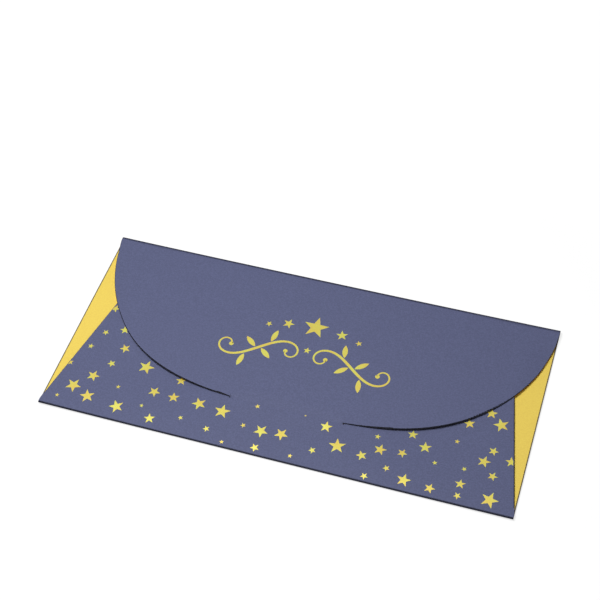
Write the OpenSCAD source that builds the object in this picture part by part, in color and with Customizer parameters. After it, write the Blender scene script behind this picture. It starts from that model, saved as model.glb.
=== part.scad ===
// Gift card holder: one sheet of two-colour card, folded into a pocket with a long closing flap.
// The sheet is two plies glued face to face, an outer cover ply and an inner liner ply.
// It lies on its back panel: X runs along the folds, Y from the bottom fold to the top fold,
// and Z is up. The origin is the middle of the underside.

/* [Card] */
// Width of the closed holder, along the folds
holder_w = 210; // [200:1:220]
// Height of the closed holder, from the bottom fold to the top fold
holder_h = 99; // [97:1:105]
// Thickness of the outer ply
cover_t = 0.20; // [0.15:0.01:0.25]
// Thickness of the inner ply
liner_t = 0.15; // [0.10:0.01:0.20]

/* [Pocket] */
// Clear height inside the pocket, for a card 0.76 thick
pocket_gap = 0.80; // [0.78:0.01:1.20]
// Height of the front panel above the bottom fold
pocket_h = 75; // [70:1:80]
// How far the sides of the front panel lean in for each millimetre of height
side_lean = 0.213; // [0.15:0.001:0.25]
// Height above the bottom fold at which the sides begin to lean in
side_start = 2; // [1:0.5:4]

/* [Glue tabs] */
// Width of each glue tab, from its fold to its free edge
tab_w = 10; // [8:1:14]
// Length of side left without a fold at each end of a tab
tab_setback = 3; // [2:0.5:5]
// Thickness of the adhesive under each tab
glue_t = 0.05; // [0.04:0.01:0.10]
// Width of each adhesive strip
glue_w = 6; // [4:0.5:7]

/* [Flap] */
// Clear height between the front panel and the closed flap
flap_gap = 0.40; // [0.12:0.01:0.60]
// Distance from the top fold to the start of the curved edge
flap_shoulder = 2; // [1.5:0.5:4]
// Depth of the curved edge, from its start to its lowest point
flap_drop = 72.3; // [68:0.1:72.5]
// Fullness of the curved edge at its sides
flap_side_power = 3.19; // [2.6:0.01:3.6]
// Fullness of the curved edge at its lowest point
flap_tip_power = 1.72; // [1.6:0.01:2.0]

/* [Tongue and slit] */
// Width of the tongue that tucks into the slit
tongue_w = 51; // [40:1:60]
// Length of the tongue beyond the lip of the slit
tongue_reach = 10; // [8:0.5:14]
// Radius of the two free corners of the tongue
tongue_corner_r = 6; // [3:0.5:7]
// Slope of the tongue where it dips through the slit, in degrees
dip_angle = 30; // [25:1:40]
// Clearance round the tongue in the slit
slit_clear = 0.3; // [0.2:0.05:0.5]

/* [Foil] */
// Thickness of the foil
foil_t = 0.03; // [0.02:0.01:0.05]
// Radius of a star's inner corners as a share of its outer radius
star_waist = 0.40; // [0.38:0.01:0.55]
// Widest stroke of the scrolls
scroll_stroke = 1.3; // [0.8:0.1:1.6]

/* [Hidden] */

cover_colour = "#646886";
liner_colour = "#ebd06a";
glue_colour = "#e8e6dc";
foil_colour = "#e9d45c";

card_t = cover_t + liner_t;
eps = 0.01;
round_faces = 96;

// Levels of each layer above the surface that the holder lies on
front_z = card_t + pocket_gap;
front_top_z = front_z + card_t;
tab_z = card_t + glue_t;
flap_z = front_top_z + flap_gap;
flap_top_z = flap_z + card_t;

// Outer radius of each fold, half the height of what it joins
bottom_r = front_top_z / 2;
top_r = flap_top_z / 2;
side_r = (front_top_z - tab_z) / 2;

// Lines across the holder, measured from the bottom fold
top_fold_y = holder_h - top_r;
shoulder_y = holder_h - flap_shoulder;
slit_y = shoulder_y - flap_drop;

// A hair's breadth between the flap and the fold that carries it
flap_join = 0.02;

// The slanted sides of the front panel
lean_angle = atan(side_lean);
side_len = (pocket_h - side_start) / cos(lean_angle);
tab_bevel = 0.6;
glue_inset = 1.5;

// The tongue runs just under the front panel and climbs through the slit to the flap
tongue_play = 0.05;
tongue_z = front_z - tongue_play - card_t;
dip_slope = tan(dip_angle);
dip_len = (flap_z - tongue_z) / dip_slope;
slit_len = (front_top_z + tongue_play - tongue_z) / dip_slope;
slit_w = tongue_w + 2 * slit_clear;

flap_segments = 96;

// Stars that show below the flap: distance from the left side, height above the
// bottom fold, radius, and tilt in degrees anticlockwise from one point straight up
SHOWN_STARS = [
    [6.8, 5.4, 1, 10], [19.8, 8.5, 3.45, 21], [11.7, 12.1, 3.7, -20],
    [34.2, 6.9, 3.35, 31], [31.1, 16.7, 1.1, 10], [18.2, 19.2, 3, -10],
    [5.3, 23.3, 1.7, 20], [23.4, 27.7, 2, 37], [10.7, 34.1, 1.5, 0],
    [38.9, 30.3, 3.8, -7], [26, 37.2, 2.5, 36], [14.2, 43.1, 1.6, -20],
    [22, 46.7, 2.2, 19], [13.1, 57.1, 2.3, -13], [44.7, 10.3, 1, 0],
    [50.3, 5.1, 2.55, 16], [47.3, 18.7, 2.8, -18], [56.5, 18.2, 2.7, 14],
    [56.5, 27.6, 2.5, 12], [63.2, 9, 1.2, 30], [68.4, 18.1, 3.3, 31],
    [79.4, 17, 3.7, 1], [75.8, 6.8, 1.6, 33], [84.3, 2.5, 1, 15], [90.5, 12.7, 1.3, 36],
    [93.4, 23.4, 1.2, 20], [98.7, 12, 3.3, -27], [98.7, 3.6, 2.1, 36],
    [107.5, 12.8, 3.15, -27], [114.3, 3.8, 1.1, 0], [114.7, 24.5, 0.6, 0],
    [122.5, 8.8, 1.7, 36], [124.8, 21.5, 2.85, 2], [132, 13.7, 3.8, 12],
    [146.8, 2.9, 1.7, -29], [143.1, 12, 2.5, 28], [147.1, 23, 1.4, 0],
    [149.8, 17, 2.85, -5], [154.7, 8.9, 1.6, 33], [159.1, 17.9, 2.25, -19],
    [161, 28.3, 2.35, 6], [163, 5.4, 3.15, -5], [167.6, 23.4, 2.85, 10],
    [173.3, 17, 1.2, 20], [174.2, 4.5, 2.4, -13], [179.7, 29.9, 1.2, 0],
    [182.6, 40, 2.6, 17], [185.7, 17.3, 1.2, 40], [185.8, 9.8, 2.35, 2],
    [185.9, 4.2, 1.7, 38], [190.5, 47.3, 2.7, 5], [195.7, 42.6, 3.5, 25],
    [195.4, 29, 2.25, -16], [203.6, 25.7, 2.6, 10], [192.7, 23, 2.95, -9],
    [197.7, 16.9, 2.2, -17], [198.9, 5.7, 3.85, -13]
];

// Stars under the closed flap lie on loose rows, nudged off the rows by a sine
covered_rows = 4;
covered_columns = 12;
covered_pitch_x = 14;
covered_pitch_y = 11;
covered_first_y = 34;
covered_margin = 4.5;
COVERED_RADII = [3.4, 1.2, 2.6, 1.8, 3, 1];

// The ornament on the flap: a pair of scrolls below a row of stars, each given by its
// distance from the middle, height above the bottom fold, radius and tilt
scroll_half_len = 31;
scroll_turn = 330;
scroll_curl_power = 2.6;
scroll_steps = 40;
scroll_tip_stroke = 0.7;
scroll_ball_r = 1;
scroll_place = [21.5, 53.5];
scroll_tilt = -38;
ORNAMENT_STARS = [
    [0, 71, 6, 0], [12.5, 69.8, 2.8, 14], [-12.5, 69.8, 2.8, -14],
    [21, 67.4, 1.6, 24], [-21, 67.4, 1.6, -24], [0, 57.5, 1.8, 0]
];
// Leaves on each scroll: place, length and direction in degrees
ORNAMENT_LEAVES = [
    [[17, 58], 7, 100], [[23, 53.5], 7, 40], [[26.5, 48.5], 7, -80], [[20.2, 53.4], 7, -140]
];
leaf_slimness = 0.34;

function flap_edge_y(x) = shoulder_y
    - flap_drop * pow(1 - pow(abs(2 * x / holder_w), flap_side_power), 1 / flap_tip_power);

function side_x(y) = holder_w / 2 - side_lean * max(y - side_start, 0);

function nudge(i, k) = sin(i * 137 + k * 59);

// The scroll's heading turns slowly at its middle and quickly at its ends
function scroll_heading(i) = scroll_turn * pow(i / scroll_steps, scroll_curl_power);

function scroll_stroke_at(i) =
    scroll_tip_stroke + (scroll_stroke - scroll_tip_stroke) * pow(cos(90 * i / scroll_steps), 2);

function side_step(i) =
    scroll_stroke_at(i) / 2 * [-sin(scroll_heading(i)), cos(scroll_heading(i))];

// Turns the sheet's height above the bottom fold into the part's frame
module on_sheet() {
    translate([0, -holder_h / 2, 0]) children();
}

// Puts what is drawn for the left side on one side: 1 is the left, -1 the right
module on_side(side) {
    flip = side > 0 ? 0 : 1;
    mirror([flip, 0, 0]) children();
}

// Follows the slanted left side: Y runs along it and X points into the panel
module along_slant() {
    translate([-holder_w / 2, side_start, 0]) rotate([0, 0, -lean_angle]) children();
}

// Half of a tube along X, open towards Y positive or negative, for a fold
module fold_tube(outer, inner, length, opens_up) {
    turn = opens_up ? 180 : 0;
    rotate([turn, 0, 0]) intersection() {
        rotate([0, 90, 0]) difference() {
            cylinder(r = outer, h = length, center = true, $fn = round_faces);
            cylinder(r = inner, h = length + 2 * eps, center = true, $fn = round_faces);
        }
        translate([-length, 0, -2 * outer]) cube([2 * length, 2 * outer, 4 * outer]);
    }
}

module star(r, tilt) {
    polygon([
        for (i = [0:9])
            let (reach = i % 2 == 0 ? r : r * star_waist, angle = 90 + tilt + 36 * i)
            reach * [cos(angle), sin(angle)]
    ]);
}

// A slab with a vertical outline, from one level up by a thickness
module slab(z, thickness) {
    translate([0, 0, z]) linear_extrude(thickness) children();
}

module back_outline() {
    translate([-holder_w / 2, bottom_r]) square([holder_w, top_fold_y - bottom_r]);
}

module front_outline() {
    half_top = side_x(pocket_h);
    half_base = holder_w / 2;
    polygon([
        [-half_base, bottom_r], [half_base, bottom_r], [half_base, side_start],
        [half_top, pocket_h], [-half_top, pocket_h], [-half_base, side_start]
    ]);
}

// The strip along a slanted side that the fold takes up
module side_fold_zone() {
    along_slant() translate([-side_r, tab_setback]) square([2 * side_r, side_len - 2 * tab_setback]);
}

module slit_outline() {
    translate([-slit_w / 2, slit_y]) square([slit_w, slit_len]);
}

module front_face() {
    difference() {
        front_outline();
        slit_outline();
        side_fold_zone();
        mirror([1, 0, 0]) side_fold_zone();
    }
}

// Superellipse below a straight shoulder
module flap_outline() {
    half_w = holder_w / 2;
    join_y = top_fold_y - flap_join;
    curve = [
        for (i = [1:flap_segments - 1])
            let (angle = 180 * i / flap_segments, across = -cos(angle), down = sin(angle))
            [
                half_w * sign(across) * pow(abs(across), 2 / flap_side_power),
                shoulder_y - flap_drop * pow(down, 2 / flap_tip_power)
            ]
    ];
    polygon(concat([[half_w, join_y], [-half_w, join_y], [-half_w, shoulder_y]], curve,
                   [[half_w, shoulder_y]]));
}

module flap_face() {
    difference() {
        flap_outline();
        translate([-tongue_w / 2, slit_y - eps]) square([tongue_w, dip_len + eps]);
    }
}

// Plan of the tongue, with its two free corners rounded
module tongue_outline() {
    r = tongue_corner_r;
    free_y = slit_y - tongue_reach;
    intersection() {
        translate([-tongue_w / 2, free_y]) square([tongue_w, tongue_reach + dip_len]);
        union() {
            translate([-tongue_w / 2, free_y + r]) square([tongue_w, tongue_reach + dip_len]);
            translate([-tongue_w / 2 + r, free_y]) square([tongue_w - 2 * r, 2 * r]);
            for (side = [-1, 1])
                translate([side * (tongue_w / 2 - r), free_y + r]) circle(r = r, $fn = round_faces);
        }
    }
}

// One ply of the tongue: level under the front panel, then climbing to the flap
module tongue_ply(lift, thickness) {
    low = tongue_z + lift;
    high = flap_z + lift;
    free_y = slit_y - tongue_reach - 1;
    intersection() {
        translate([-tongue_w, 0, 0]) rotate([90, 0, 90]) linear_extrude(2 * tongue_w) polygon([
            [free_y, low], [slit_y, low], [slit_y + dip_len, high],
            [slit_y + dip_len, high + thickness], [slit_y, low + thickness],
            [free_y, low + thickness]
        ]);
        linear_extrude(flap_top_z + 1) tongue_outline();
    }
}

module tab_outline() {
    from_y = tab_setback;
    to_y = side_len - tab_setback;
    bevel = tab_w * tab_bevel;
    polygon([
        [side_r, from_y], [side_r + tab_w, from_y + bevel],
        [side_r + tab_w, to_y - bevel], [side_r, to_y]
    ]);
}

module glue_outline() {
    from_y = tab_setback + tab_w;
    translate([side_r + glue_inset, from_y]) square([glue_w, side_len - 2 * from_y]);
}

// One ply of a fold along a slanted side
module side_fold_ply(outer, inner) {
    length = side_len - 2 * tab_setback;
    along_slant()
        translate([side_r, side_len / 2, tab_z + side_r])
        rotate([0, 0, 90]) fold_tube(outer, inner, length, false);
}

// An S-shaped stroke with a ball at each end; its second half is the first turned round
module scroll() {
    spine = [
        for (i = 0, p = [0, 0]; i <= scroll_steps;
             p = p + scroll_half_len / scroll_steps * [cos(scroll_heading(i)), sin(scroll_heading(i))],
             i = i + 1) p
    ];
    near_edge = [for (i = [0:scroll_steps]) spine[i] + side_step(i)];
    far_edge = [for (i = [0:scroll_steps]) spine[i] - side_step(i)];
    half = concat(near_edge, [for (i = [scroll_steps:-1:0]) far_edge[i]]);
    for (turn = [0, 180]) rotate(turn) {
        polygon(half);
        translate(spine[scroll_steps]) circle(r = scroll_ball_r, $fn = round_faces);
    }
}

// A pointed leaf, the lens that two equal circles share
module leaf(length) {
    half_w = length * leaf_slimness / 2;
    r = (pow(length / 2, 2) + pow(half_w, 2)) / (2 * half_w);
    translate([length / 2, 0]) intersection() {
        translate([0, r - half_w]) circle(r = r, $fn = round_faces);
        translate([0, half_w - r]) circle(r = r, $fn = round_faces);
    }
}

module ornament_outline() {
    for (s = ORNAMENT_STARS) translate([s[0], s[1]]) star(s[2], s[3]);
    for (side = [0, 1]) mirror([side, 0]) {
        translate(scroll_place) rotate(scroll_tilt) scroll();
        for (l = ORNAMENT_LEAVES) translate(l[0]) rotate(l[2]) leaf(l[1]);
    }
}

module shown_stars() {
    for (s = SHOWN_STARS) translate([s[0] - holder_w / 2, s[1]]) star(s[2], s[3]);
}

module covered_stars() {
    for (row = [0:covered_rows - 1], column = [0:covered_columns - 1]) {
        i = row * covered_columns + column;
        x = (column - (covered_columns - 1) / 2 + (row % 2) / 2) * covered_pitch_x
            + 3.5 * nudge(i, 1);
        y = covered_first_y + row * covered_pitch_y + 2.5 * nudge(i, 2);
        inside = abs(x) < side_x(y) - covered_margin;
        covered = y > flap_edge_y(min(abs(x), holder_w / 2)) + covered_margin;
        if (inside && covered)
            translate([x, y]) star(COVERED_RADII[i % len(COVERED_RADII)], 36 * nudge(i, 3));
    }
}

module back_cover() {
    color(cover_colour) on_sheet() slab(0, cover_t) back_outline();
}

module back_liner() {
    color(liner_colour) on_sheet() slab(cover_t, liner_t) back_outline();
}

module bottom_fold_cover() {
    color(cover_colour) on_sheet() translate([0, bottom_r, bottom_r])
        fold_tube(bottom_r, bottom_r - cover_t, holder_w, true);
}

module bottom_fold_liner() {
    color(liner_colour) on_sheet() translate([0, bottom_r, bottom_r])
        fold_tube(bottom_r - cover_t, bottom_r - card_t, holder_w, true);
}

module front_cover() {
    color(cover_colour) on_sheet() slab(front_z + liner_t, cover_t) front_face();
}

module front_liner() {
    color(liner_colour) on_sheet() slab(front_z, liner_t) front_face();
}

module foil_stars() {
    color(foil_colour) on_sheet() slab(front_top_z, foil_t) intersection() {
        union() {
            shown_stars();
            covered_stars();
        }
        front_face();
    }
}

module side_fold_cover(side) {
    color(cover_colour) on_sheet() on_side(side) side_fold_ply(side_r, side_r - cover_t);
}

module side_fold_liner(side) {
    color(liner_colour) on_sheet() on_side(side) side_fold_ply(side_r - cover_t, side_r - card_t);
}

module glue_tab_cover(side) {
    color(cover_colour) on_sheet() on_side(side) along_slant() slab(tab_z, cover_t) tab_outline();
}

module glue_tab_liner(side) {
    color(liner_colour) on_sheet() on_side(side) along_slant()
        slab(tab_z + cover_t, liner_t) tab_outline();
}

module adhesive(side) {
    color(glue_colour) on_sheet() on_side(side) along_slant() slab(card_t, glue_t) glue_outline();
}

module top_fold_cover() {
    color(cover_colour) on_sheet() translate([0, top_fold_y, top_r])
        fold_tube(top_r, top_r - cover_t, holder_w, false);
}

module top_fold_liner() {
    color(liner_colour) on_sheet() translate([0, top_fold_y, top_r])
        fold_tube(top_r - cover_t, top_r - card_t, holder_w, false);
}

module flap_cover() {
    color(cover_colour) on_sheet() slab(flap_z + liner_t, cover_t) flap_face();
}

module flap_liner() {
    color(liner_colour) on_sheet() slab(flap_z, liner_t) flap_face();
}

module tongue_cover() {
    color(cover_colour) on_sheet() tongue_ply(liner_t, cover_t);
}

module tongue_liner() {
    color(liner_colour) on_sheet() tongue_ply(0, liner_t);
}

module foil_ornament() {
    color(foil_colour) on_sheet() slab(flap_top_z, foil_t) ornament_outline();
}

back_cover();
back_liner();
bottom_fold_cover();
bottom_fold_liner();
front_cover();
front_liner();
foil_stars();
side_fold_cover(1);  // side_fold_cover_left
side_fold_cover(-1);  // side_fold_cover_right
side_fold_liner(1);  // side_fold_liner_left
side_fold_liner(-1);  // side_fold_liner_right
glue_tab_cover(1);  // glue_tab_cover_left
glue_tab_cover(-1);  // glue_tab_cover_right
glue_tab_liner(1);  // glue_tab_liner_left
glue_tab_liner(-1);  // glue_tab_liner_right
adhesive(1);  // adhesive_left
adhesive(-1);  // adhesive_right
top_fold_cover();
top_fold_liner();
flap_cover();
flap_liner();
tongue_cover();
tongue_liner();
foil_ornament();
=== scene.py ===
"""Dresses the folded gift card holder: two-ply card sheets, soft creases, foil and studio.

Shapes are worked out in millimetres on the closed holder. X runs along the folds from the
middle, Y is the height above the bottom fold, and Z is up from the table. They are turned
into the frame's metres when a mesh is made.
"""

import logging
import math
from dataclasses import dataclass
from enum import Enum
from typing import Any, Callable

import bmesh
import bpy
import numpy as np
from mathutils import Matrix, Vector


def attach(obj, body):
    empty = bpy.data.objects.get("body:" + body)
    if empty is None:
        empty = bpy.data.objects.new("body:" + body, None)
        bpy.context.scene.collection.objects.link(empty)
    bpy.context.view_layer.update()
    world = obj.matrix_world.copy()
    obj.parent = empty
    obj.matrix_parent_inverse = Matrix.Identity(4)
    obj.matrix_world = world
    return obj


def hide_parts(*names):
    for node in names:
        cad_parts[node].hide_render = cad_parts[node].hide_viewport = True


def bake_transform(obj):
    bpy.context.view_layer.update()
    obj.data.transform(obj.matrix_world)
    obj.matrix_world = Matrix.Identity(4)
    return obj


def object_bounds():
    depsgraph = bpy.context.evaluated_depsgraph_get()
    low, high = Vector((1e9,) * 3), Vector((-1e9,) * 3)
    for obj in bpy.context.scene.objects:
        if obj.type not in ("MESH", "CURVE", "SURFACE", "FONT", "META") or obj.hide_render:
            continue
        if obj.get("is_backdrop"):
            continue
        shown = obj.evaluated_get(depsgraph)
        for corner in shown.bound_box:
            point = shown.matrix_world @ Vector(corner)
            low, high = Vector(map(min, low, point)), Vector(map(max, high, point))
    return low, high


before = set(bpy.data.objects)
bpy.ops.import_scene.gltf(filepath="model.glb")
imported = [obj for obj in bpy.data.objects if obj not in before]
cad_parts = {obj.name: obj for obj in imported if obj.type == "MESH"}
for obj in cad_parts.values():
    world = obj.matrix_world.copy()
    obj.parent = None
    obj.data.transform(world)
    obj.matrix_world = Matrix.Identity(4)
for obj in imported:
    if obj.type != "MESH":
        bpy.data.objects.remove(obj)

Array = np.ndarray
Field = Callable[[Array, Array], Array]
Seam = Callable[[Array], Array]
Face = Callable[[float], Array]
Pair = tuple[float, float]
Triple = tuple[float, float, float]
Colour = tuple[float, float, float, float]

MM = 0.001
TINY = 1e-12  # length up to which a vector counts as zero
SAME = 1e-6  # mm within which two places are one
MERGE = 1e-4  # mm within which two points of a sheet are merged
HAIR = 1e-3  # mm within which two points of foil are merged, or an edge lies on a line
LOOSE = 0.05  # mm within which an edge lies on a slanted line
SHARP_ANGLE = math.radians(32)
IMAGE_SIDE = 600
CAD_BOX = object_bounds()

log = logging.getLogger("gift_card_holder")


class Ply(Enum):
    """The two plies that the card is glued up from."""

    COVER = "cover"
    LINER = "liner"


class Side(Enum):
    """A side of the holder, as the sign of its X."""

    LEFT = -1
    RIGHT = 1

    @property
    def word(self) -> str:
        """The side as it stands in the names of pieces."""
        return self.name.lower()


class Slot(Enum):
    """The record's material slots."""

    COVER = "cover_card"
    LINER = "liner_card"
    GLUE = "adhesive"
    FOIL = "foil"


PLY_SLOTS = {Ply.COVER: Slot.COVER, Ply.LINER: Slot.LINER}


# Curves

def ramp(t: Array) -> Array:
    """Returns t held between 0 and 1."""
    return np.clip(t, 0.0, 1.0)


def ease(t: Array) -> Array:
    """Returns the smooth step of t: 0 below 0, 1 above 1, and 3t^2 - 2t^3 between."""
    t = ramp(t)
    return t * t * (3.0 - 2.0 * t)


def unit(v: Array) -> Array:
    """Returns the vectors in the last axis of v at length 1, and zero ones as zero."""
    length = np.linalg.norm(v, axis=-1, keepdims=True)
    return np.divide(v, length, out=np.zeros_like(v), where=length > TINY)


def spaced(*stops: float, step: float) -> Array:
    """Makes a rising line of numbers that holds every stop and no gap above step.

    Args:
        stops: numbers that the line has to hold, from low to high.
        step: the widest gap between neighbours.

    Returns:
        The line of numbers.
    """
    slack = 1e-9
    parts = [
        np.linspace(a, b, max(1, math.ceil((b - a) / step - slack)) + 1)[:-1]
        for a, b in zip(stops[:-1], stops[1:])
    ]
    return np.concatenate(parts + [np.array([stops[-1]])])


@dataclass(frozen=True)
class Step:
    """A smooth step from 0 at one place to 1 at another, which may be higher or lower."""

    zero: float
    one: float

    def __call__(self, place: Array) -> Array:
        """Returns the step's value at each place."""
        return ease((place - self.zero) / (self.one - self.zero))


@dataclass(frozen=True)
class Patch:
    """An amount that one step along X and one along Y bring in."""

    amount: float
    across: Step
    upward: Step

    def __call__(self, x: Array, y: Array) -> Array:
        """Returns the amount at each place."""
        return self.amount * self.across(x) * self.upward(y)


@dataclass(frozen=True)
class Mound:
    """A smooth oval mound, eased out from its middle to its rim."""

    rise: float
    x: float
    y: float
    reach_x: float
    reach_y: float

    def __call__(self, x: Array, y: Array) -> Array:
        """Returns the mound's height at each place."""
        away = np.hypot((x - self.x) / self.reach_x, (y - self.y) / self.reach_y)
        return self.rise * ease(1 - away)


@dataclass(frozen=True)
class Droop:
    """A drop that grows with a power of the way up from a height, over a length."""

    depth: float
    start: float
    length: float
    power: float

    def __call__(self, y: Array) -> Array:
        """Returns the drop at each height."""
        return self.depth * ramp((y - self.start) / self.length) ** self.power


# Sizes and levels

@dataclass(frozen=True)
class Breaks:
    """How far a sheet's outer and inner cut edges are broken, and its painted dark rim.

    The rim is a width by place, or None, and its tone is how far its colour has gone to
    the cut edge's. On the flap the rim is painted shadow of the gap under the flap's edge;
    on the back panel it is a dark line along the cut sides.
    """

    outer: float = 0.0
    inner: float = 0.0
    rim: Field | None = None
    tone: float = 1.0


@dataclass(frozen=True)
class Stock:
    """The card: thickness of its plies, and how its cut edges are broken."""

    cover: float = 0.20
    liner: float = 0.15
    broken: float = 0.035

    @property
    def whole(self) -> float:
        """Thickness of both plies."""
        return self.cover + self.liner

    def depths(self, ply: Ply, cover_first: bool = True) -> Pair:
        """Returns the depths of a ply's two faces below the face that comes first."""
        first = self.cover if cover_first else self.liner
        return (0.0, first) if (ply is Ply.COVER) == cover_first else (first, self.whole)


@dataclass(frozen=True)
class Outline:
    """Plan of the closed holder, its pocket, its flap and its slit."""

    width: float = 210.0
    height: float = 99.0
    bottom_fold: float = 0.75
    top_fold: float = 97.875
    pocket: float = 75.0
    lean: float = 0.213
    lean_start: float = 2.0
    side_fold: float = 0.55
    tab_setback: float = 3.0
    shoulder: float = 97.0
    drop: float = 72.3
    side_power: float = 3.19
    tip_power: float = 1.72
    slit: float = 24.7
    slit_open: float = 1.386
    slit_half: float = 25.8
    slit_middle: float = 0.72
    flap_skew: float = 0.008
    bows: tuple[Patch, ...] = (
        Patch(0.80, Step(-60, -95), Step(98, 89)),
        Patch(0.35, Step(60, 95), Step(84, 70)),
    )
    bow_end: Step = Step(30, 55)
    tongue_half: float = 25.5
    tongue_join: float = 26.692
    tongue_end: float = 14.7
    tongue_corner: float = 6.0

    @property
    def half(self) -> float:
        """Half of the width."""
        return self.width / 2

    @property
    def lean_angle(self) -> float:
        """Angle of the pocket's sides from upright in the plan, in radians."""
        return math.atan(self.lean)

    @property
    def slant(self) -> float:
        """Length of one of the pocket's slanted sides."""
        return (self.pocket - self.lean_start) / math.cos(self.lean_angle)

    @property
    def side_strip(self) -> float:
        """Width along X of the strip that a side fold takes up."""
        return self.side_fold / math.cos(self.lean_angle)

    @property
    def tab_from(self) -> float:
        """Height above the bottom fold at which the side folds begin."""
        return self.lean_start + self.tab_setback * math.cos(self.lean_angle)

    @property
    def tab_to(self) -> float:
        """Height above the bottom fold at which the side folds end."""
        return self.pocket - self.tab_setback * math.cos(self.lean_angle)

    def along_folds(self, step: float) -> Array:
        """Returns places along the bottom and the top fold, from the left end to the right."""
        return spaced(-self.half, self.half, step=step)

    def pocket_half(self, y: Array) -> Array:
        """Returns half the width of the front panel at a height: it leans in from lean_start."""
        return self.half - self.lean * np.maximum(y - self.lean_start, 0.0)

    def flap_edge(self, turn: Array) -> tuple[Array, Array]:
        """Curved edge of the flap, a superellipse hung below the shoulder.

        X is half the width times cos(turn) to the power 2 / side_power, with the sign of
        cos(turn). Y is the shoulder less the drop times sin(turn) to the power 2 / tip_power.

        Args:
            turn: angles in radians, 0 at the right end and pi at the left end.

        Returns:
            X and Y of the edge.
        """
        across, down = np.cos(turn), np.abs(np.sin(turn))
        x = self.half * np.sign(across) * np.abs(across) ** (2 / self.side_power)
        return x, self.shoulder - self.drop * down ** (2 / self.tip_power)

    def flap_turn(self, x: Array) -> Array:
        """Returns the turn at which the flap's edge has this X."""
        share = np.abs(x) / self.half
        return np.arccos(np.sign(x) * share ** (self.side_power / 2))

    def skewed(self, x: Array, y: Array) -> Array:
        """Moves places on the flap a hair to the right, as it is cut and folded off square.

        The shift grows evenly below the top fold. Half way up, the two sides are moved
        further, by their bows, which ease out towards the fold and towards the slit.

        Args:
            x: places across a flap that is square.
            y: heights above the bottom fold.

        Returns:
            The places across.
        """
        bow = sum(bow(x, y) for bow in self.bows)
        return x + self.flap_skew * (self.top_fold - y) + bow * self.bow_end(y)


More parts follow.
